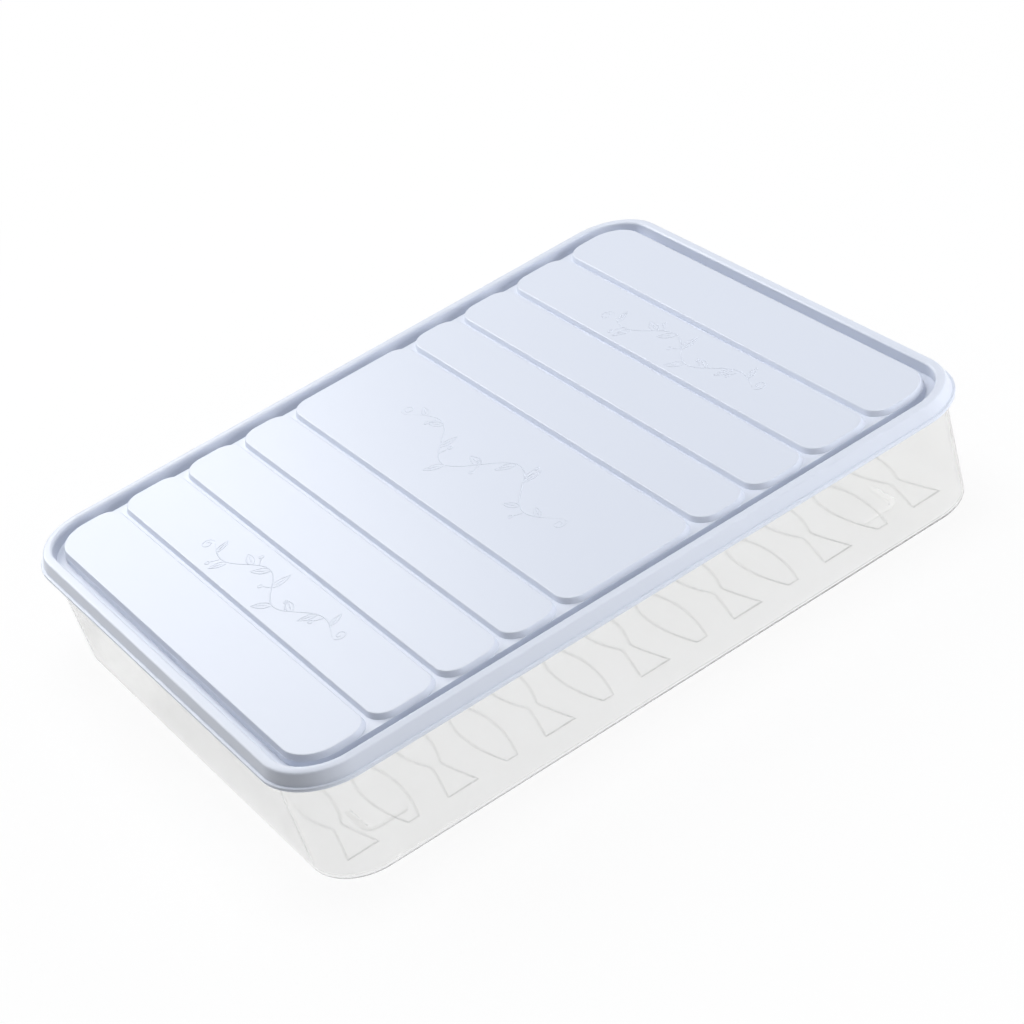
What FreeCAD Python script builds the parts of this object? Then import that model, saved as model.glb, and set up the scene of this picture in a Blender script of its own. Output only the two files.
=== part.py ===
import FreeCAD, Part
import math
import os
import Sketcher

# A shallow food keeper: a clear tapered bin, and a lid whose hollow rim goes over the bin's edge.
# Millimetres and degrees. The origin is the middle of the plane that the feet stand on,
# X runs along the length, Y across the width and Z up.

doc = FreeCAD.newDocument("food_keeper")

# Driving sizes, each with the word that the model calls it by
driving = {
    # the rim of the lid, seen from above
    "rim_length": 340.0,
    "rim_width": 272.0,
    "rim_corner": 27.0,
    # the bin
    "bin_height": 59.8,
    "bin_wall": 1.2,
    "bin_draft": 1.5,
    "floor_thickness": 1.6,
    "bottom_round": 2.6,
    "foot_height": 1.0,
    "foot_band": 2.6,
    "foot_leg": 19.0,
    "foot_bend": 6.0,
    "foot_inset": 27.0,
    # the lid's walls and the room that they leave round the bin's edge
    "lid_wall": 1.1,
    "edge_play": 0.3,
    # skirt and lip
    "skirt_height": 7.8,
    "skirt_flare": 18.0,
    "lip_reach": 3.2,
    "lip_height": 1.8,
    "mouth_flare": 15.0,
    # the channel inside the rim
    "channel_depth": 6.2,
    "channel_draft": 3.0,
    "channel_end": 5.7,
    "channel_side": 7.7,
    # the raised panels
    "panel_rise": 2.6,
    "panel_draft": 22.0,
    "panel_gap": 3.6,
    "panel_corner": 9.0,
    "row_corner": 16.0,
    "panel_ledge": 0.1,
    # the rim's top, which falls a little towards its outer edge
    "rim_slope": 2.6,
    "rim_drop": 0.5,
    # edges that are rounded or bevelled
    "rim_round": 1.2,
    "panel_bevel": 0.4,
    "lip_bevel": 0.4,
    # how far a cut runs past the face that it opens
    "cut_overrun": 2.0,
}

# Widths of the panels as parts of the row: from one end of the lid inwards, then the middle one
panel_shares = (13, 12, 11, 10)
middle_share = 26
half_row_share = sum(panel_shares) + middle_share / 2

# Sizes that follow from the driving ones
derived = {
    "lid_top": "sizes.bin_height + sizes.lid_wall",
    "lid_bottom": "lid_top - sizes.skirt_height",
    "rim_edge_level": "lid_top - sizes.rim_drop * cos(sizes.skirt_flare)",
    "rim_x": "sizes.rim_length / 2",
    "rim_y": "sizes.rim_width / 2",
    "lip_x": "rim_x + sizes.lip_reach",
    "lip_y": "rim_y + sizes.lip_reach",
    "lip_corner": "sizes.rim_corner + sizes.lip_reach",
    "lip_top": "lid_bottom + sizes.lip_height",
    # the bin at its top edge, outside and inside
    "bin_x": "rim_x - sizes.lid_wall - sizes.edge_play",
    "bin_y": "rim_y - sizes.lid_wall - sizes.edge_play",
    "bin_corner": "sizes.rim_corner - sizes.lid_wall - sizes.edge_play",
    "bin_inner_x": "bin_x - sizes.bin_wall",
    "bin_inner_y": "bin_y - sizes.bin_wall",
    "bin_inner_corner": "bin_corner - sizes.bin_wall",
    "bin_depth": "sizes.bin_height - sizes.foot_height",
    "hollow_depth": "bin_depth - sizes.floor_thickness",
    "floor_top": "sizes.foot_height + sizes.floor_thickness",
    "floor_round": "sizes.bottom_round - sizes.bin_wall",
    # feet, measured to the outer side of each leg
    "base_x": "bin_x - bin_depth * tan(sizes.bin_draft)",
    "base_y": "bin_y - bin_depth * tan(sizes.bin_draft)",
    "foot_x": "base_x - sizes.foot_inset",
    "foot_y": "base_y - sizes.foot_inset",
    # the slot under the rim that takes the bin's edge, with room for the lean of the bin's wall
    "slot_reach": "sizes.skirt_height - sizes.lid_wall",
    "edge_lean": "slot_reach * tan(sizes.bin_draft)",
    "slot_outer_x": "rim_x - sizes.lid_wall",
    "slot_outer_y": "rim_y - sizes.lid_wall",
    "slot_outer_corner": "sizes.rim_corner - sizes.lid_wall",
    "slot_inner_x": "bin_inner_x - sizes.edge_play - edge_lean",
    "slot_inner_y": "bin_inner_y - sizes.edge_play - edge_lean",
    "slot_inner_corner": "bin_inner_corner - sizes.edge_play - edge_lean",
    "slot_depth": "slot_reach + sizes.cut_overrun",
    # the well inside the rim, and the row of panels in it
    "well_x": "slot_inner_x - sizes.lid_wall",
    "well_y": "slot_inner_y - sizes.lid_wall",
    "well_corner": "slot_inner_corner - sizes.lid_wall",
    "channel_floor": "lid_top - sizes.channel_depth",
    "row_x": "well_x - sizes.channel_end",
    "row_y": "well_y - sizes.channel_side",
    "panel_slope": "sizes.panel_rise * tan(sizes.panel_draft)",
    # the table that carries the panels
    "table_top": "lid_top - sizes.panel_rise",
    "table_rise": "sizes.channel_depth - sizes.panel_rise",
    "table_x": "row_x + panel_slope + sizes.panel_ledge",
    "table_y": "row_y + panel_slope + sizes.panel_ledge",
    "table_corner": "sizes.row_corner + panel_slope + sizes.panel_ledge",
    # the hollows under the table and the panels
    "table_ceiling": "table_top - sizes.lid_wall",
    "under_table_x": "table_x - sizes.lid_wall",
    "under_table_y": "table_y - sizes.lid_wall",
    "under_table_corner": "table_corner - sizes.lid_wall",
    "under_table_depth": "table_ceiling - lid_bottom + sizes.cut_overrun",
    "panel_ceiling": "lid_top - sizes.lid_wall",
    "panel_inset": "sizes.lid_wall * (1 / cos(sizes.panel_draft) - tan(sizes.panel_draft))",
    "panel_unit": "(row_x - %d * sizes.panel_gap) / %d" % (len(panel_shares), half_row_share),
    "middle_x": "%d * panel_unit / 2" % middle_share,
}

# Where each panel on the +X side starts and ends
for number, share in enumerate(panel_shares):
    before = sum(panel_shares[:number])
    derived["panel_end_%d" % number] = "row_x - %d * panel_unit - %d * sizes.panel_gap" % (before, number)
    derived["panel_start_%d" % number] = "panel_end_%d - %d * panel_unit" % (number, share)

sizes = doc.addObject("Spreadsheet::Sheet", "sizes")
for row, (word, value) in enumerate(driving.items(), start=1):
    sizes.set("A%d" % row, word.replace("_", " "))
    sizes.set("B%d" % row, str(value))
    sizes.setAlias("B%d" % row, word)

worked = doc.addObject("Spreadsheet::Sheet", "worked")
for row, (word, formula) in enumerate(derived.items(), start=1):
    worked.set("A%d" % row, word.replace("_", " "))
    worked.set("B%d" % row, "=" + formula)
    worked.setAlias("B%d" % row, word)
doc.recompute()


def source(word):
    return ("sizes." if word in driving else "worked.") + word


def size(word):
    return float(getattr(sizes if word in driving else worked, word))


def bind(target, prop, word):
    target.setExpression(prop, source(word))


def plane(body, role):
    return next(item for item in body.Origin.OriginFeatures if item.Role == role)


# A sketch parallel to the ground, at a height that one of the sizes gives
def level_sketch(body, name, height=None):
    sketch = body.newObject("Sketcher::SketchObject", name)
    sketch.AttachmentSupport = [(plane(body, "XY_Plane"), "")]
    sketch.MapMode = "FlatFace"
    if height:
        bind(sketch, "AttachmentOffset.Base.z", height)
    return sketch


# A constraint whose value follows an expression
def drive(sketch, formula, *constraint):
    index = sketch.addConstraint(Sketcher.Constraint(*constraint))
    sketch.setExpression("Constraints[%d]" % index, formula)


def quarter(x, y, radius, turn):
    circle = Part.Circle(FreeCAD.Vector(x, y, 0), FreeCAD.Vector(0, 0, 1), radius)
    return Part.ArcOfCircle(circle, turn * math.pi / 2, (turn + 1) * math.pi / 2)


def segment(x0, y0, x1, y1):
    return Part.LineSegment(FreeCAD.Vector(x0, y0, 0), FreeCAD.Vector(x1, y1, 0))


# A straight edge parallel to Y, at a place along X that may lie on either side of the middle
def place_along_x(sketch, line, formula, value):
    if value < 0:
        drive(sketch, "-(%s)" % formula, "DistanceX", line, 1, -1, 1, -value)
    else:
        drive(sketch, formula, "DistanceX", -1, 1, line, 1, value)


# A rectangle with rounded corners from start to end along X and from -reach to reach along Y.
# Each limit is a pair: an expression and its value.
def rounded_rectangle(sketch, start, end, reach, start_bend, end_bend):
    x0, x1, y, r0, r1 = start[1], end[1], reach[1], start_bend[1], end_bend[1]
    shapes = [
        segment(x0 + r0, -y, x1 - r1, -y),
        quarter(x1 - r1, r1 - y, r1, 3),
        segment(x1, r1 - y, x1, y - r1),
        quarter(x1 - r1, y - r1, r1, 0),
        segment(x1 - r1, y, x0 + r0, y),
        quarter(x0 + r0, y - r0, r0, 1),
        segment(x0, y - r0, x0, r0 - y),
        quarter(x0 + r0, r0 - y, r0, 2),
    ]
    ring = [sketch.GeometryCount + index for index in range(len(shapes))]
    sketch.addGeometry(shapes, False)
    front, front_end, right, back_end, back, back_start, left, front_start = ring
    for here, there in zip(ring, ring[1:] + ring[:1]):
        sketch.addConstraint(Sketcher.Constraint("Tangent", here, 2, there, 1))
    for line in (front, back):
        sketch.addConstraint(Sketcher.Constraint("Horizontal", line))
    for line in (right, left):
        sketch.addConstraint(Sketcher.Constraint("Vertical", line))
    sketch.addConstraint(Sketcher.Constraint("Equal", front_start, back_start))
    sketch.addConstraint(Sketcher.Constraint("Equal", front_end, back_end))
    drive(sketch, start_bend[0], "Radius", front_start, r0)
    drive(sketch, end_bend[0], "Radius", front_end, r1)
    place_along_x(sketch, left, start[0], x0)
    place_along_x(sketch, right, end[0], x1)
    drive(sketch, reach[0], "DistanceY", front, 1, -1, 1, y)
    drive(sketch, reach[0], "DistanceY", -1, 1, back, 1, y)


# A word as the pair that rounded_rectangle takes, moved by the sign times a second word
def limit(word, sign=0, inset=None):
    if not inset:
        return source(word), size(word)
    return "%s + %d * %s" % (source(word), sign, source(inset)), size(word) + sign * size(inset)


def centred_rectangle(sketch, half_length, half_width, corner):
    start = "-" + source(half_length), -size(half_length)
    bend = limit(corner)
    rounded_rectangle(sketch, start, limit(half_length), limit(half_width), bend, bend)


# The outline of one panel on the +X side. The row's outer corners are rounder than the rest.
def panel_outline(sketch, number, inset=None):
    rounded_rectangle(
        sketch,
        limit("panel_start_%d" % number, 1, inset),
        limit("panel_end_%d" % number, -1, inset),
        limit("row_y", -1, inset),
        limit("panel_corner", -1, inset),
        limit("panel_corner" if number else "row_corner", -1, inset),
    )


def middle_outline(sketch, inset=None):
    end = limit("middle_x", -1, inset)
    bend = limit("panel_corner", -1, inset)
    rounded_rectangle(sketch, ("-(%s)" % end[0], -end[1]), end, limit("row_y", -1, inset), bend, bend)


# A pad or a pocket. Both go down from their sketch unless upward is set, and widen with a positive lean.
def extrude(body, kind, name, sketch, depth, lean=None, sign=1, upward=False):
    feature = body.newObject("PartDesign::" + kind, name)
    feature.Profile = sketch
    feature.Reversed = (kind == "Pad") != upward
    bind(feature, "Length", depth)
    if lean:
        feature.setExpression("TaperAngle", "%d * %s" % (sign, source(lean)))
    before = 0 if body.Shape.isNull() else body.Shape.Volume
    doc.recompute()
    grown = feature.Shape.Volume - before
    assert grown > 0 if kind == "Pad" else grown < 0, name + " changes nothing"
    return feature


# The flat faces of a feature that lie at a height
def faces_at(feature, height):
    tiny = Part.Precision.confusion() * size("rim_length")
    level = [face for face in feature.Shape.Faces if face.BoundBox.ZLength < tiny]
    return [face for face in level if abs(face.BoundBox.ZMax - size(height)) < tiny]


def edges_at(feature, height):
    tiny = Part.Precision.confusion() * size("rim_length")
    level = [edge for edge in feature.Shape.Edges if edge.BoundBox.ZLength < tiny]
    return [edge for edge in level if abs(edge.BoundBox.ZMax - size(height)) < tiny]


def edge_names(shape, chosen):
    names = []
    for index, edge in enumerate(shape.Edges, start=1):
        if any(edge.isSame(other) for other in chosen):
            names.append("Edge%d" % index)
    return names


def mirror(body, name, role):
    feature = body.newObject("PartDesign::Mirrored", name)
    feature.MirrorPlane = (plane(body, role), [""])
    return feature


# Edges of the newest feature, rounded by a radius or bevelled by a width, or by a width and a drop
def dress(body, kind, name, base, chosen, amount, drop=None):
    feature = body.newObject("PartDesign::" + kind, name)
    feature.Base = (base, edge_names(base.Shape, chosen))
    bind(feature, "Radius" if kind == "Fillet" else "Size", amount)
    if drop:
        feature.ChamferType = "Two distances"
        bind(feature, "Size2", drop)
    doc.recompute()
    return feature


# The bin: a tapered box, open above, on four feet
bin_body = doc.addObject("PartDesign::Body", "bin")
bin_body.Label = "bin"

outline = level_sketch(bin_body, "bin_outline", "bin_height")
centred_rectangle(outline, "bin_x", "bin_y", "bin_corner")
block = extrude(bin_body, "Pad", "bin_block", outline, "bin_depth", "bin_draft", -1)
underside = faces_at(block, "foot_height")[0]
dress(bin_body, "Fillet", "bin_bottom_edge", block, underside.Edges, "bottom_round")

inside = level_sketch(bin_body, "bin_inside", "bin_height")
centred_rectangle(inside, "bin_inner_x", "bin_inner_y", "bin_inner_corner")
hollow = extrude(bin_body, "Pocket", "bin_hollow", inside, "hollow_depth", "bin_draft", -1)
floor = faces_at(hollow, "floor_top")[0]
dress(bin_body, "Fillet", "bin_floor_edge", hollow, floor.Edges, "floor_round")


# One foot: an angle with a rounded bend and round ends, its legs along X and Y
def foot_outline(sketch):
    x, y, band = size("foot_x"), size("foot_y"), size("foot_band")
    bend, leg, end = size("foot_bend"), size("foot_leg"), size("foot_band") / 2
    cap = {
        "x": Part.Circle(FreeCAD.Vector(x - leg, y - end, 0), FreeCAD.Vector(0, 0, 1), end),
        "y": Part.Circle(FreeCAD.Vector(x - end, y - leg, 0), FreeCAD.Vector(0, 0, 1), end),
    }
    shapes = [
        segment(x, y - leg, x, y - bend),
        quarter(x - bend, y - bend, bend, 0),
        segment(x - bend, y, x - leg, y),
        Part.ArcOfCircle(cap["x"], math.pi / 2, 3 * math.pi / 2),
        segment(x - leg, y - band, x - bend, y - band),
        quarter(x - bend, y - bend, bend - band, 0),
        segment(x - band, y - bend, x - band, y - leg),
        Part.ArcOfCircle(cap["y"], math.pi, 2 * math.pi),
    ]
    outer_y, bend_out, outer_x, cap_x, inner_x, bend_in, inner_y, cap_y = range(len(shapes))
    sketch.addGeometry(shapes, False)
    joined = (
        (outer_y, 2, bend_out, 1), (bend_out, 2, outer_x, 1), (outer_x, 2, cap_x, 1), (cap_x, 2, inner_x, 1),
        (inner_x, 2, bend_in, 2), (bend_in, 1, inner_y, 1), (inner_y, 2, cap_y, 1), (cap_y, 2, outer_y, 1),
    )
    for meeting in joined:
        sketch.addConstraint(Sketcher.Constraint("Tangent", *meeting))
    sketch.addConstraint(Sketcher.Constraint("Horizontal", outer_x))
    sketch.addConstraint(Sketcher.Constraint("Vertical", outer_y))
    sketch.addConstraint(Sketcher.Constraint("Coincident", bend_out, 3, bend_in, 3))
    drive(sketch, source("foot_x"), "DistanceX", -1, 1, outer_y, 1, x)
    drive(sketch, source("foot_y"), "DistanceY", -1, 1, outer_x, 1, y)
    drive(sketch, source("foot_bend"), "Radius", bend_out, bend)
    drive(sketch, source("foot_band") + " / 2", "Radius", cap_x, end)
    tip_x, tip_y = limit("foot_x", -1, "foot_leg"), limit("foot_y", -1, "foot_leg")
    drive(sketch, tip_x[0], "DistanceX", -1, 1, outer_x, 2, tip_x[1])
    drive(sketch, tip_y[0], "DistanceY", -1, 1, outer_y, 1, tip_y[1])


foot_sketch = level_sketch(bin_body, "foot_outline")
foot_outline(foot_sketch)
foot = extrude(bin_body, "Pad", "foot", foot_sketch, "foot_height", upward=True)
feet = bin_body.newObject("PartDesign::MultiTransform", "feet")
feet.Originals = [foot]
feet.Transformations = [
    mirror(bin_body, "feet_across", "XZ_Plane"),
    mirror(bin_body, "feet_along", "YZ_Plane"),
]
bin_body.Tip = feet
doc.recompute()

# The lid: skirt and lip outside, hollow rim, channel, and nine raised panels on a table
lid_body = doc.addObject("PartDesign::Body", "lid")
lid_body.Label = "lid"

rim_outline = level_sketch(lid_body, "rim_outline", "lid_top")
centred_rectangle(rim_outline, "rim_x", "rim_y", "rim_corner")
extrude(lid_body, "Pad", "skirt", rim_outline, "skirt_height", "skirt_flare")

lip_outline = level_sketch(lid_body, "lip_outline", "lid_bottom")
centred_rectangle(lip_outline, "lip_x", "lip_y", "lip_corner")
extrude(lid_body, "Pad", "lip", lip_outline, "lip_height", upward=True)

well_outline = level_sketch(lid_body, "well_outline", "lid_top")
centred_rectangle(well_outline, "well_x", "well_y", "well_corner")
extrude(lid_body, "Pocket", "well", well_outline, "channel_depth", "channel_draft", -1)

table_outline = level_sketch(lid_body, "table_outline", "table_top")
centred_rectangle(table_outline, "table_x", "table_y", "table_corner")
extrude(lid_body, "Pad", "table", table_outline, "table_rise", "channel_draft")


# One feature for each panel on the +X side and one for the middle panel, then the rest mirrored
def panel_row(kind, name, height, inset=None):
    middle = level_sketch(lid_body, name + "_middle_outline", height)
    middle_outline(middle, inset)
    extrude(lid_body, kind, name + "_middle", middle, "panel_rise", "panel_draft")
    one_side = []
    for number in range(len(panel_shares)):
        sketch = level_sketch(lid_body, "%s_outline_%d" % (name, number), height)
        panel_outline(sketch, number, inset)
        part_name = "%s_%d" % (name, number)
        one_side.append(extrude(lid_body, kind, part_name, sketch, "panel_rise", "panel_draft"))
    both_sides = mirror(lid_body, name + "_mirrored", "YZ_Plane")
    both_sides.Originals = one_side
    lid_body.Tip = both_sides
    doc.recompute()
    return both_sides


panels = panel_row("Pad", "panel", "lid_top")
panel_edges = [edge for face in faces_at(panels, "lid_top") if len(face.Wires) == 1 for edge in face.Edges]
dressed = dress(lid_body, "Chamfer", "panel_edges", panels, panel_edges, "panel_bevel")
rim_face = max(faces_at(dressed, "lid_top"), key=lambda face: len(face.Wires))
dressed = dress(lid_body, "Chamfer", "rim_top", dressed, rim_face.OuterWire.Edges, "rim_slope", "rim_drop")
rim_face = max(faces_at(dressed, "lid_top"), key=lambda face: len(face.Wires))
inner_edges = [edge for wire in rim_face.Wires if not wire.isSame(rim_face.OuterWire) for edge in wire.Edges]
outer_edges = edges_at(dressed, "rim_edge_level")
assert len(outer_edges) == len(inner_edges), "the rim's edges don't pair up"
rim_edges = inner_edges + outer_edges
dressed = dress(lid_body, "Fillet", "rim_edges", dressed, rim_edges, "rim_round")
lip_faces = faces_at(dressed, "lid_bottom") + faces_at(dressed, "lip_top")
lip_edges = [edge for face in lip_faces for edge in face.OuterWire.Edges]
dress(lid_body, "Chamfer", "lip_edges", dressed, lip_edges, "lip_bevel")


# The slot that takes the bin's edge is cut twice: straight down, and flared so that the skirt stays thin
def slot_ring(name):
    sketch = level_sketch(lid_body, name, "panel_ceiling")
    centred_rectangle(sketch, "slot_outer_x", "slot_outer_y", "slot_outer_corner")
    centred_rectangle(sketch, "slot_inner_x", "slot_inner_y", "slot_inner_corner")
    return sketch


extrude(lid_body, "Pocket", "slot", slot_ring("slot_outline"), "slot_depth")
extrude(lid_body, "Pocket", "slot_mouth", slot_ring("mouth_outline"), "slot_depth", "mouth_flare")

under_table = level_sketch(lid_body, "under_table_outline", "table_ceiling")
centred_rectangle(under_table, "under_table_x", "under_table_y", "under_table_corner")
extrude(lid_body, "Pocket", "under_table", under_table, "under_table_depth", "channel_draft")
panel_row("Pocket", "under_panel", "panel_ceiling", "panel_inset")

# Nothing is written unless every step of the model came out whole
for item in doc.Objects:
    assert not {"Invalid", "Error"} & set(item.State), item.Name + " failed"
os.makedirs("parts", exist_ok=True)
for body in (bin_body, lid_body):
    assert not body.Shape.isNull() and body.Shape.isValid(), body.Label + " is not valid"
    assert len(body.Shape.Solids) == 1, body.Label + " is not one solid"
for body in (bin_body, lid_body):
    body.Shape.exportStep("parts/%s.step" % body.Label)
    box = body.Shape.optimalBoundingBox(False)
    print("%-4s %7.1f x %6.1f x %5.1f mm, %.0f cm3" % (
        body.Label, box.XLength, box.YLength, box.ZLength, body.Shape.Volume / 10 ** 3))
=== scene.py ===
import math

import bmesh
import bpy
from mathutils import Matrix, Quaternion, Vector


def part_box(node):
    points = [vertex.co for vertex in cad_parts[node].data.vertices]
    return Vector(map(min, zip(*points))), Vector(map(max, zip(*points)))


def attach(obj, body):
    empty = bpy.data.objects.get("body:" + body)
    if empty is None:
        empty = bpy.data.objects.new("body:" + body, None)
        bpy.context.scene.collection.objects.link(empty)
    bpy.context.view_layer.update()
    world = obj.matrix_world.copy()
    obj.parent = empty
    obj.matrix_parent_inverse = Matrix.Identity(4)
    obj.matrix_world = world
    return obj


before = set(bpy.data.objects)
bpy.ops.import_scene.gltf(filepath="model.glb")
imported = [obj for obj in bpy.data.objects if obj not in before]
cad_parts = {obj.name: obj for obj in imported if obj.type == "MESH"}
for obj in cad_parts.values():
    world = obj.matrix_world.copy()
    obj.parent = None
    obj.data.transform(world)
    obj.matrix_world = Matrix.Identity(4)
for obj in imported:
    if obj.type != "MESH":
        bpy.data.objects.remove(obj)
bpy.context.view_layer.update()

# Food keeper: a clear moulded bin with a pale blue lid, on a white studio floor.
# Metres, +Z up, +X along the length. The CAD nodes stay as they are and get their finishes here.

scene = bpy.context.scene
scene.view_settings.view_transform = "Standard"
binLow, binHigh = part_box("bin")
lidLow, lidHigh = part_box("lid")
mm = 0.001
print("frame loaded:", sorted(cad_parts))


# node helpers

def addNode(tree, kind, x, y, **values):
    node = tree.nodes.new(kind)
    node.location = (x, y)
    for name, value in values.items():
        setattr(node, name, value)
    return node


def setInputs(node, **values):
    for name, value in values.items():
        node.inputs[name.replace("_", " ")].default_value = value
    return node


def newMaterial(name):
    material = bpy.data.materials.new(name)
    material.use_nodes = True
    material.node_tree.nodes.clear()
    return material, material.node_tree


def srgb(red, green, blue):  # screen values, 0 to 255, to the linear ones that sockets take
    def linear(value):
        share = value / 255
        return share / 12.92 if share <= 0.04045 else ((share + 0.055) / 1.055) ** 2.4
    return linear(red), linear(green), linear(blue), 1.0


# the faint unevenness of injection-moulded plastic, shared by all the finishes

def makeMouldedSurface():
    group = bpy.data.node_groups.new("mouldedSurface", "ShaderNodeTree")
    face = group.interface
    for name, value in (("Grain Size", 900.0), ("Flow Size", 9.0), ("Sink", 0.4)):
        face.new_socket(name, in_out="INPUT", socket_type="NodeSocketFloat").default_value = value
    for name in ("Height", "Flow", "Speckle"):
        face.new_socket(name, in_out="OUTPUT", socket_type="NodeSocketFloat")
    entry = addNode(group, "NodeGroupInput", -900, 0)
    leave = addNode(group, "NodeGroupOutput", 500, 0)
    place = addNode(group, "ShaderNodeTexCoord", -900, -300)
    grain = addNode(group, "ShaderNodeTexNoise", -500, 300)  # fine texture of the mould's steel
    setInputs(grain, Detail=2.0, Roughness=0.6)
    flow = addNode(group, "ShaderNodeTexNoise", -500, 0)  # slow streaks where the melt ran
    setInputs(flow, Detail=3.0, Roughness=0.45, Distortion=0.6)
    speck = addNode(group, "ShaderNodeTexNoise", -500, -300)
    setInputs(speck, Scale=160.0, Detail=1.0)
    mix = addNode(group, "ShaderNodeMath", -100, 200, operation="MULTIPLY_ADD")
    links = group.links
    for noise in (grain, flow, speck):
        links.new(place.outputs["Object"], noise.inputs["Vector"])
    links.new(entry.outputs["Grain Size"], grain.inputs["Scale"])
    links.new(entry.outputs["Flow Size"], flow.inputs["Scale"])
    links.new(flow.outputs["Fac"], mix.inputs[0])
    links.new(entry.outputs["Sink"], mix.inputs[1])
    links.new(grain.outputs["Fac"], mix.inputs[2])
    links.new(mix.outputs[0], leave.inputs["Height"])
    links.new(flow.outputs["Fac"], leave.inputs["Flow"])
    links.new(speck.outputs["Fac"], leave.inputs["Speckle"])
    return group


mouldedSurface = makeMouldedSurface()


def placeMoulded(tree, **values):
    node = addNode(tree, "ShaderNodeGroup", -900, 0, node_tree=mouldedSurface)
    return setInputs(node, **values)


def mixColours(tree, factor, first, second, x, y):
    mix = addNode(tree, "ShaderNodeMix", x, y, data_type="RGBA")
    mix.inputs[6].default_value = first
    mix.inputs[7].default_value = second
    tree.links.new(factor, mix.inputs[0])
    return mix.outputs[2]


def spread(tree, value, low, high, x, y):  # a 0 to 1 value taken to another range
    node = addNode(tree, "ShaderNodeMapRange", x, y)
    node.inputs[1].default_value = 0.3
    node.inputs[2].default_value = 0.7
    node.inputs[3].default_value = low
    node.inputs[4].default_value = high
    tree.links.new(value, node.inputs[0])
    return node.outputs[0]


def bumpFrom(tree, height, strength, distance, x, y):
    bump = addNode(tree, "ShaderNodeBump", x, y)
    setInputs(bump, Strength=strength, Distance=distance)
    tree.links.new(height, bump.inputs["Height"])
    return bump.outputs["Normal"]


# lid finish: opaque pale blue, soft gloss

lidFinish = {
    "colour": srgb(216, 221, 232),
    "paleStreak": srgb(219, 224, 235),
    "gloss": (0.28, 0.3),  # lowest and highest roughness
    "matt": (0.6, 0.7),
    "grainStrength": 0.03,
    "grainDepth": 0.02 * mm,
    "mirroring": 1.49,  # index of refraction
}


def makeLidPlastic(name, roughness):
    material, tree = newMaterial(name)
    shader = addNode(tree, "ShaderNodeBsdfPrincipled", 200, 0)
    setInputs(shader, IOR=lidFinish["mirroring"])
    surface = placeMoulded(tree, Grain_Size=1400.0, Flow_Size=7.0, Sink=0.6)
    flow = surface.outputs["Flow"]
    colour = mixColours(tree, flow, lidFinish["colour"], lidFinish["paleStreak"], -300, 200)
    rough = spread(tree, surface.outputs["Speckle"], *roughness, -300, -50)
    grain = lidFinish["grainStrength"], lidFinish["grainDepth"]
    normal = bumpFrom(tree, surface.outputs["Height"], *grain, -100, -300)
    tree.links.new(colour, shader.inputs["Base Color"])
    tree.links.new(rough, shader.inputs["Roughness"])
    tree.links.new(normal, shader.inputs["Normal"])
    out = addNode(tree, "ShaderNodeOutputMaterial", 500, 0)
    tree.links.new(shader.outputs[0], out.inputs["Surface"])
    return material


# bin finish: clear natural plastic with a light haze, which lets the lamps through

binFinish = {
    "colour": srgb(248, 248, 248),
    "hazeColour": srgb(245, 245, 244),
    "clear": 0.97,
    "bending": 1.125,  # of light, for the walls
    "ribBending": 1.08,  # less for the thin ribs, so that they stay faint
    "gloss": (0.12, 0.16),
    "lampTint": srgb(250, 250, 249),
    "coat": 0.3,
    "coatGloss": 0.1,
    "grainStrength": 0.06,
    "grainDepth": 0.03 * mm,
}


def makeClearPlastic(name, bending):
    material, tree = newMaterial(name)
    shader = addNode(tree, "ShaderNodeBsdfPrincipled", 200, 0)
    setInputs(shader, IOR=bending, Transmission_Weight=binFinish["clear"])
    setInputs(shader, Coat_Weight=binFinish["coat"], Coat_Roughness=binFinish["coatGloss"])
    surface = placeMoulded(tree, Grain_Size=500.0, Flow_Size=12.0, Sink=0.8)
    flow = surface.outputs["Flow"]
    tint = mixColours(tree, flow, binFinish["colour"], binFinish["hazeColour"], -300, 200)
    rough = spread(tree, surface.outputs["Speckle"], *binFinish["gloss"], -300, -50)
    grain = binFinish["grainStrength"], binFinish["grainDepth"]
    normal = bumpFrom(tree, surface.outputs["Height"], *grain, -100, -300)
    tree.links.new(tint, shader.inputs["Base Color"])
    tree.links.new(rough, shader.inputs["Roughness"])
    tree.links.new(normal, shader.inputs["Normal"])
    lampPath = addNode(tree, "ShaderNodeLightPath", 200, 400)
    through = addNode(tree, "ShaderNodeBsdfTransparent", 200, -400)
    through.inputs["Color"].default_value = binFinish["lampTint"]
    mix = addNode(tree, "ShaderNodeMixShader", 500, 0)
    tree.links.new(lampPath.outputs["Is Shadow Ray"], mix.inputs[0])
    tree.links.new(shader.outputs[0], mix.inputs[1])
    tree.links.new(through.outputs[0], mix.inputs[2])
    out = addNode(tree, "ShaderNodeOutputMaterial", 750, 0)
    tree.links.new(mix.outputs[0], out.inputs["Surface"])
    return material


lidPlastic = makeLidPlastic("lidPlastic", lidFinish["gloss"])
mattPlastic = makeLidPlastic("mattPlastic", lidFinish["matt"])  # for the fine ornament
clearPlastic = makeClearPlastic("clearPlastic", binFinish["bending"])
ribPlastic = makeClearPlastic("ribPlastic", binFinish["ribBending"])


def dressNode(name, material):
    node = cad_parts[name]
    node.data.materials.clear()
    node.data.materials.append(material)


dressNode("lid", lidPlastic)
dressNode("bin", clearPlastic)
print("finishes on the lid and the bin")


# shading that runs round the small bevels of a moulding, so that they catch the light as rounded edges do

edgeLook = {"sharpDegrees": 50.0, "flatDegrees": 0.3, "joinWithin": 0.002 * mm}


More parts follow.
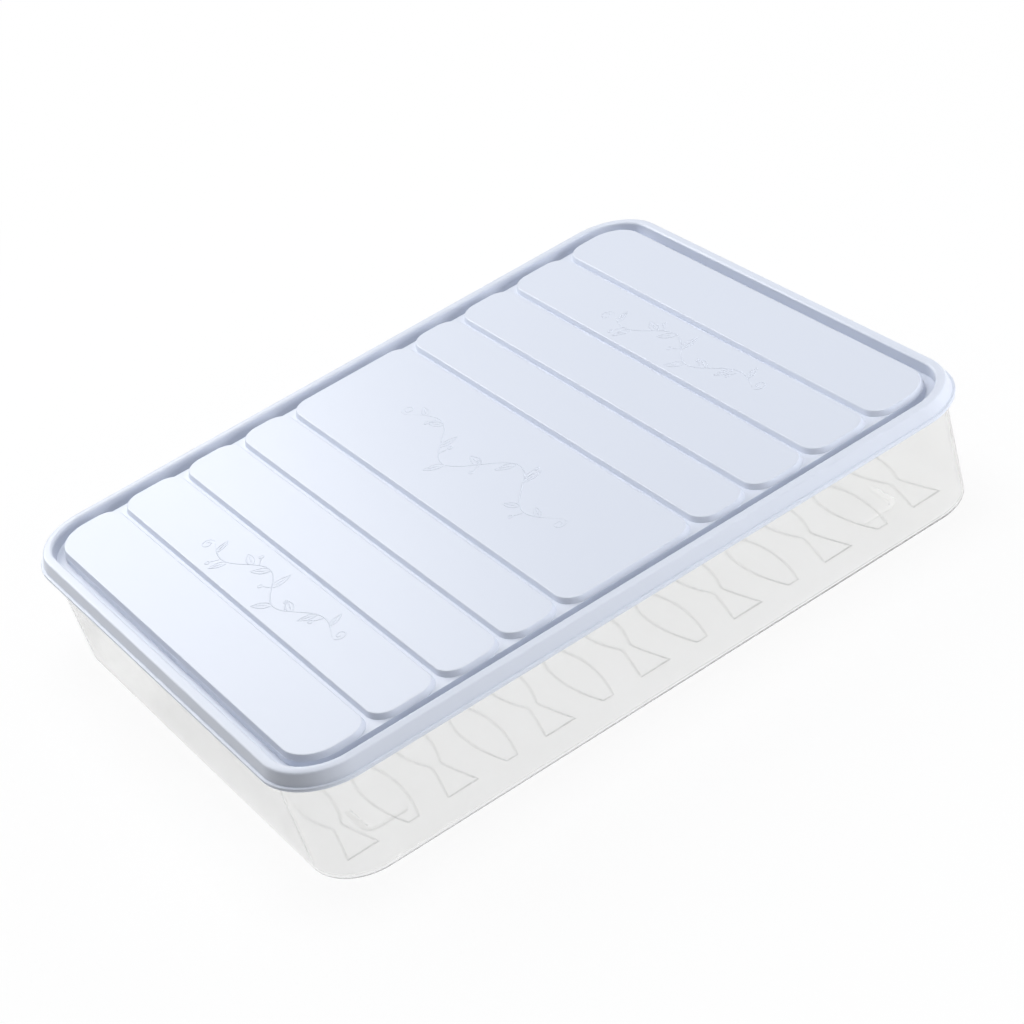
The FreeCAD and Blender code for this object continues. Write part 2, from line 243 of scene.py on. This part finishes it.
def makeSoftEdges():
    group = bpy.data.node_groups.new("softEdges", "GeometryNodeTree")
    group.interface.new_socket("Geometry", in_out="INPUT", socket_type="NodeSocketGeometry")
    group.interface.new_socket("Geometry", in_out="OUTPUT", socket_type="NodeSocketGeometry")
    entry = addNode(group, "NodeGroupInput", -800, 0)
    join = addNode(group, "GeometryNodeMergeByDistance", -600, 0)
    join.inputs["Distance"].default_value = edgeLook["joinWithin"]
    smoothFaces = addNode(group, "GeometryNodeSetShadeSmooth", -400, 0, domain="FACE")
    angle = addNode(group, "GeometryNodeInputMeshEdgeAngle", -600, -300)
    sharp = addNode(group, "FunctionNodeCompare", -400, -300, data_type="FLOAT", operation="GREATER_THAN")
    sharp.inputs["B"].default_value = math.radians(edgeLook["sharpDegrees"])
    sharpEdges = addNode(group, "GeometryNodeSetShadeSmooth", -200, 0, domain="EDGE")
    sharpEdges.inputs["Shade Smooth"].default_value = False
    leave = addNode(group, "NodeGroupOutput", 100, 0)
    links = group.links
    links.new(entry.outputs[0], join.inputs["Geometry"])
    links.new(join.outputs[0], smoothFaces.inputs[0])
    links.new(smoothFaces.outputs[0], sharpEdges.inputs[0])
    links.new(angle.outputs["Unsigned Angle"], sharp.inputs["A"])
    links.new(sharp.outputs[0], sharpEdges.inputs["Selection"])
    links.new(sharpEdges.outputs[0], leave.inputs[0])
    return group


softEdges = makeSoftEdges()


def softenEdges(name):
    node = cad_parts[name]
    node.modifiers.new("softEdges", "NODES").node_group = softEdges
    flat = node.modifiers.new("wholeFaces", "DECIMATE")  # flat faces count by their whole area
    flat.decimate_type = "DISSOLVE"
    flat.angle_limit = math.radians(edgeLook["flatDegrees"])
    flat.delimit = {"SHARP"}
    weighted = node.modifiers.new("evenNormals", "WEIGHTED_NORMAL")
    weighted.mode = "FACE_AREA"
    weighted.weight = 50
    weighted.keep_sharp = True


softenEdges("lid")
softenEdges("bin")
print("soft edges on the lid and the bin")


# low rounded ridges along a line on a flat face, for the floor's ribs and the lid's ornament

ridgeForm = {
    "section": ((-0.5, 0.0), (-0.32, 0.75), (0.0, 1.0), (0.32, 0.75), (0.5, 0.0)),  # shares of the size
    "endSize": 0.4,  # share that is left at the end of an open line
    "endReach": 12,  # the taper takes up one part in so many at each end
}


def ridge(mesh, points, width, height, base, closed=False, taper=False):
    count = len(points)
    section = ridgeForm["section"]
    rings = []
    for index, point in enumerate(points):
        before = points[index - 1] if index or closed else point
        after = points[(index + 1) % count] if index + 1 < count or closed else point
        along = (after - before).normalized()
        side = Vector((-along.y, along.x))
        share = 1.0
        if taper:
            toEnd = min(index, count - 1 - index) / (count - 1)
            share = max(ridgeForm["endSize"], min(1.0, ridgeForm["endReach"] * toEnd))
        ring = []
        for across, up in section:
            spot = point + side * across * width * share
            ring.append(mesh.verts.new((spot.x, spot.y, base + up * height * share)))
        rings.append(ring)
    pairs = list(zip(rings, rings[1:] + rings[:1])) if closed else list(zip(rings, rings[1:]))
    for one, two in pairs:
        for place in range(len(section)):
            other = (place + 1) % len(section)
            mesh.faces.new((one[place], one[other], two[other], two[place]))
    if not closed:
        mesh.faces.new(list(reversed(rings[0])))
        mesh.faces.new(rings[-1])


def newPiece(name, mesh, body, material):
    bmesh.ops.recalc_face_normals(mesh, faces=mesh.faces)
    data = bpy.data.meshes.new(name)
    mesh.to_mesh(data)
    mesh.free()
    for polygon in data.polygons:
        polygon.use_smooth = True
    data.materials.append(material)
    piece = bpy.data.objects.new(name, data)
    scene.collection.objects.link(piece)
    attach(piece, body)
    return piece


# fish ribs on the floor of the bin: rows of plain outlines, head to tail by turns

floorFish = {
    "columns": 13,
    "columnPitch": 24.5 * mm,
    "rows": 3,
    "rowPitch": 78.0 * mm,
    "length": 75.0 * mm,
    "noseWidth": 5.0 * mm,
    "bodyWidth": 14.4 * mm,
    "pinchWidth": 4.4 * mm,
    "tailWidth": 15.0 * mm,
    "noseToBelly": 28.5 * mm,
    "tailLength": 23.0 * mm,
    "ribWidth": 1.0 * mm,
    "ribHeight": 0.075 * mm,
    "sunk": 0.05 * mm,
    "floorTop": binLow.z + 2.6 * mm,
    "steps": 30,
}


def fishHalfWidth(along):
    belly, pinchAt = floorFish["noseToBelly"], floorFish["length"] - floorFish["tailLength"]
    if along <= belly:
        fall = (floorFish["bodyWidth"] - floorFish["noseWidth"]) * (1 - along / belly) ** 2
        return (floorFish["bodyWidth"] - fall) / 2
    if along <= pinchAt:
        share = (along - belly) / (pinchAt - belly)
        fall = (floorFish["bodyWidth"] - floorFish["pinchWidth"]) * share ** 2
        return (floorFish["bodyWidth"] - fall) / 2
    share = (along - pinchAt) / floorFish["tailLength"]
    rise = (floorFish["tailWidth"] - floorFish["pinchWidth"]) * share ** 1.2
    return (floorFish["pinchWidth"] + rise) / 2


def fishOutline(centre, turned):
    steps, length = floorFish["steps"], floorFish["length"]
    stations = [length * index / steps for index in range(steps + 1)]
    sides = [(fishHalfWidth(along), along - length / 2) for along in stations]
    loop = sides + [(-half, along) for half, along in reversed(sides)]
    sign = 1 if turned else -1
    return [centre + Vector((half * sign, along * sign)) for half, along in loop]


def makeFloorFish(material):
    mesh = bmesh.new()
    for row in range(floorFish["rows"]):
        y = (row - (floorFish["rows"] - 1) / 2) * floorFish["rowPitch"]
        for column in range(floorFish["columns"]):
            x = (column - (floorFish["columns"] - 1) / 2) * floorFish["columnPitch"]
            outline = fishOutline(Vector((x, y)), (column + row) % 2 == 1)
            base = floorFish["floorTop"] - floorFish["sunk"]
            ridge(mesh, outline, floorFish["ribWidth"], floorFish["ribHeight"], base, closed=True)
    return newPiece("floorFish", mesh, "bin", material)


makeFloorFish(ribPlastic)
print("fish ribs on the bin's floor")


# faint sprigs on three of the panels: a waving stem with leaves, berries and curls

sprig = {
    "top": lidHigh.z,
    "sunk": 0.02 * mm,
    "lineWidth": 0.6 * mm,
    "lineHeight": 0.14 * mm,
    "places": (  # middle of each sprig, its length, the swing of its stem and which way it starts
        {"at": (-109.5 * mm, -3.0 * mm), "length": 112.0 * mm, "swing": 6.5 * mm, "start": 1},
        {"at": (0.0, -2.0 * mm), "length": 138.0 * mm, "swing": 11.0 * mm, "start": -1},
        {"at": (109.5 * mm, -3.0 * mm), "length": 112.0 * mm, "swing": 6.5 * mm, "start": 1},
    ),
    "waves": 2.0,
    "leaves": 9,
    "leafLength": 10.5 * mm,
    "leafWidth": 4.0 * mm,
    "leafDegrees": 48,
    "endLeaf": 0.72,  # size of the leaves at the ends, as a share
    "berries": 5,
    "berryRadius": 1.1 * mm,
    "berryDegrees": 62,
    "stalk": 5.2 * mm,
    "curlRadius": 3.4 * mm,
    "curlTurns": 1.35,
}


def turned(vector, degrees):
    angle = math.radians(degrees)
    return Vector((vector.x * math.cos(angle) - vector.y * math.sin(angle),
                   vector.x * math.sin(angle) + vector.y * math.cos(angle)))


def stemPoint(place, share):
    sway = math.sin(2 * math.pi * sprig["waves"] * share) * place["swing"] * place["start"]
    sway *= 0.55 + 0.45 * math.sin(math.pi * share)
    return Vector(place["at"]) + Vector((sway, (share - 0.5) * place["length"]))


def stemHeading(place, share):
    return (stemPoint(place, share + 0.005) - stemPoint(place, share - 0.005)).normalized()


def drawLeaf(strokes, root, heading, size):
    side = Vector((-heading.y, heading.x))
    edge = []
    for index in range(13):
        along = index / 12
        half = sprig["leafWidth"] / 2 * size * math.sin(math.pi * along ** 0.8)
        edge.append((along * sprig["leafLength"] * size, half))
    loop = [root + heading * along + side * half for along, half in edge]
    loop += [root + heading * along - side * half for along, half in reversed(edge[1:-1])]
    strokes.append((loop, True))
    vein = [root + heading * sprig["leafLength"] * size * step / 5 for step in range(1, 5)]
    strokes.append((vein, False))


def drawBerry(strokes, root, heading):
    middle = root + heading * (sprig["stalk"] + sprig["berryRadius"])
    strokes.append(([root + heading * sprig["stalk"] * step / 4 for step in range(5)], False))
    ring = [middle + turned(heading, 30 * step) * sprig["berryRadius"] for step in range(12)]
    strokes.append((ring, True))


def drawCurl(strokes, root, heading, turn):
    side = turned(heading, 90 * turn)
    middle = root + side * sprig["curlRadius"]
    curl = []
    for step in range(31):
        share = step / 30
        spoke = turned(-side, 360 * sprig["curlTurns"] * share * turn)
        curl.append(middle + spoke * sprig["curlRadius"] * (1 - 0.75 * share))
    strokes.append((curl, False))


def sprigStrokes(place):
    strokes = [([stemPoint(place, step / 72) for step in range(73)], False)]
    for index in range(sprig["leaves"]):
        share = (index + 0.7) / (sprig["leaves"] + 0.4)
        turn = 1 if index % 2 else -1
        size = sprig["endLeaf"] + (1 - sprig["endLeaf"]) * math.sin(math.pi * share)
        heading = turned(stemHeading(place, share), sprig["leafDegrees"] * turn)
        drawLeaf(strokes, stemPoint(place, share), heading, size)
    for index in range(sprig["berries"]):
        share = (index + 0.75) / (sprig["berries"] + 0.5)
        turn = -1 if index % 2 else 1
        heading = turned(stemHeading(place, share), sprig["berryDegrees"] * turn)
        drawBerry(strokes, stemPoint(place, share), heading)
    drawCurl(strokes, stemPoint(place, 1.0), stemHeading(place, 0.995), place["start"])
    drawCurl(strokes, stemPoint(place, 0.0), -stemHeading(place, 0.005), place["start"])
    return strokes


def makeSprigs():
    mesh = bmesh.new()
    base = sprig["top"] - sprig["sunk"]
    for place in sprig["places"]:
        for points, closed in sprigStrokes(place):
            ridge(mesh, points, sprig["lineWidth"], sprig["lineHeight"], base, closed, not closed)
    return newPiece("lidSprigs", mesh, "lid", mattPlastic)


# the small round gate mark in the middle of the lid, where the melt came in

gateMark = {"ringRadius": 1.7 * mm, "ringWidth": 0.5 * mm, "height": 0.12 * mm, "dotRadius": 0.55 * mm}


def makeGateMark():
    mesh = bmesh.new()
    base = sprig["top"] - sprig["sunk"]
    for radius, width in (
        (gateMark["ringRadius"], gateMark["ringWidth"]),
        (gateMark["dotRadius"], gateMark["dotRadius"]),
    ):
        ring = [turned(Vector((radius, 0)), 15 * step) for step in range(24)]
        ridge(mesh, ring, width, gateMark["height"], base, closed=True)
    return newPiece("gateMark", mesh, "lid", mattPlastic)


makeSprigs()
makeGateMark()
print("sprigs and gate mark on the lid")


# studio: white floor, white surround, soft lamps

studio = {
    "floorSize": 6.0,
    "floorColour": srgb(250, 250, 250),
    "glowReach": (0.2, 0.6),  # from the middle, nearest and farthest
    "glow": (0.92, 1.0),
    "worldLight": 0.12,
    "lampColour": (0.98, 0.995, 1.02),
    "lamps": {
        "overhead": {"place": (0.16, 0.1, 1.25), "aim": (0.16, 0.1, 0), "size": (0.7, 0.7), "watts": 8.4},
        "backCard": {"place": (-0.3, 1.35, 0.95), "aim": (0, 0, 0.06), "size": (1.6, 0.9), "watts": 12.5},
        "edgeStrip": {"place": (-0.57, 1.25, 0.65), "aim": (0, 0, 0), "size": (0.78, 0.42), "watts": 5.0},
        "frontCard": {"place": (0.72, -1.0, 0.33), "aim": (0, -0.1, 0), "size": (0.9, 0.4), "watts": 9.8},
    },
    "unmirrored": ("frontCard",),  # lights the front without a glare on the lid from behind
}


def seenDirectly(tree, x, y):  # 1 for rays that show the stage itself or its mirror image
    path = addNode(tree, "ShaderNodeLightPath", x - 500, y)
    value = path.outputs["Is Camera Ray"]
    for name in ("Is Glossy Ray", "Is Transmission Ray"):
        larger = addNode(tree, "ShaderNodeMath", x - 200, y, operation="MAXIMUM")
        tree.links.new(value, larger.inputs[0])
        tree.links.new(path.outputs[name], larger.inputs[1])
        value = larger.outputs[0]
    return value


def makeFloor():
    material, tree = newMaterial("studioFloor")
    plain = addNode(tree, "ShaderNodeBsdfDiffuse", 0, 0)
    plain.inputs["Color"].default_value = studio["floorColour"]
    glow = addNode(tree, "ShaderNodeEmission", 0, -200)
    place = addNode(tree, "ShaderNodeTexCoord", -700, 600)
    away = addNode(tree, "ShaderNodeVectorMath", -500, 600, operation="LENGTH")
    reach = addNode(tree, "ShaderNodeMapRange", -300, 600)
    for index, value in enumerate(studio["glowReach"] + studio["glow"], start=1):
        reach.inputs[index].default_value = value
    share = addNode(tree, "ShaderNodeMath", 0, 300, operation="MULTIPLY")
    tree.links.new(place.outputs["Object"], away.inputs[0])
    tree.links.new(away.outputs["Value"], reach.inputs[0])
    tree.links.new(seenDirectly(tree, -200, 300), share.inputs[0])
    tree.links.new(reach.outputs[0], share.inputs[1])
    mix = addNode(tree, "ShaderNodeMixShader", 300, 0)
    out = addNode(tree, "ShaderNodeOutputMaterial", 600, 0)
    tree.links.new(share.outputs[0], mix.inputs[0])
    tree.links.new(plain.outputs[0], mix.inputs[1])
    tree.links.new(glow.outputs[0], mix.inputs[2])
    tree.links.new(mix.outputs[0], out.inputs["Surface"])
    half = studio["floorSize"] / 2
    data = bpy.data.meshes.new("studioFloor")
    corners = [(-half, -half, 0), (half, -half, 0), (half, half, 0), (-half, half, 0)]
    data.from_pydata(corners, [], [(0, 1, 2, 3)])
    data.materials.append(material)
    floor = bpy.data.objects.new("studioFloor", data)
    scene.collection.objects.link(floor)


def makeWorld():
    world = bpy.data.worlds.new("studioWorld")
    world.use_nodes = True
    tree = world.node_tree
    tree.nodes.clear()
    light = addNode(tree, "ShaderNodeBackground", 0, 0)
    light.inputs["Strength"].default_value = studio["worldLight"]
    white = addNode(tree, "ShaderNodeBackground", 0, -200)
    mix = addNode(tree, "ShaderNodeMixShader", 300, 0)
    out = addNode(tree, "ShaderNodeOutputWorld", 600, 0)
    tree.links.new(seenDirectly(tree, 0, 300), mix.inputs[0])
    tree.links.new(light.outputs[0], mix.inputs[1])
    tree.links.new(white.outputs[0], mix.inputs[2])
    tree.links.new(mix.outputs[0], out.inputs["Surface"])
    scene.world = world


def makeLamp(name, settings):
    data = bpy.data.lights.new(name, "AREA")
    data.shape = "RECTANGLE"
    data.size, data.size_y = settings["size"]
    data.energy = settings["watts"]
    data.color = studio["lampColour"]
    lamp = bpy.data.objects.new(name, data)
    lamp.visible_glossy = name not in studio["unmirrored"]
    lamp.location = settings["place"]
    heading = Vector(settings["aim"]) - lamp.location
    lamp.rotation_mode = "QUATERNION"
    lamp.rotation_quaternion = heading.to_track_quat("-Z", "Y")
    scene.collection.objects.link(lamp)


makeFloor()
makeWorld()
for lampName, lampSettings in studio["lamps"].items():
    makeLamp(lampName, lampSettings)
print("studio ready")


# camera at the photograph's viewing angle

photoView = {
    "place": (-0.4063, -1.0268, 0.7179),
    "aim": (-0.0112, -0.0469, 0.0609),
    "rollDegrees": -18.6,
    "lens": 102.77,
    "sensor": 36.0,
}


def makeCamera():
    data = bpy.data.cameras.new("photoCamera")
    data.lens = photoView["lens"]
    data.sensor_width = photoView["sensor"]
    camera = bpy.data.objects.new("photoCamera", data)
    camera.location = photoView["place"]
    heading = Vector(photoView["aim"]) - camera.location
    roll = Quaternion((0, 0, 1), math.radians(photoView["rollDegrees"]))
    camera.rotation_mode = "QUATERNION"
    camera.rotation_quaternion = heading.to_track_quat("-Z", "Y") @ roll
    scene.collection.objects.link(camera)
    scene.camera = camera


makeCamera()
print("camera set")
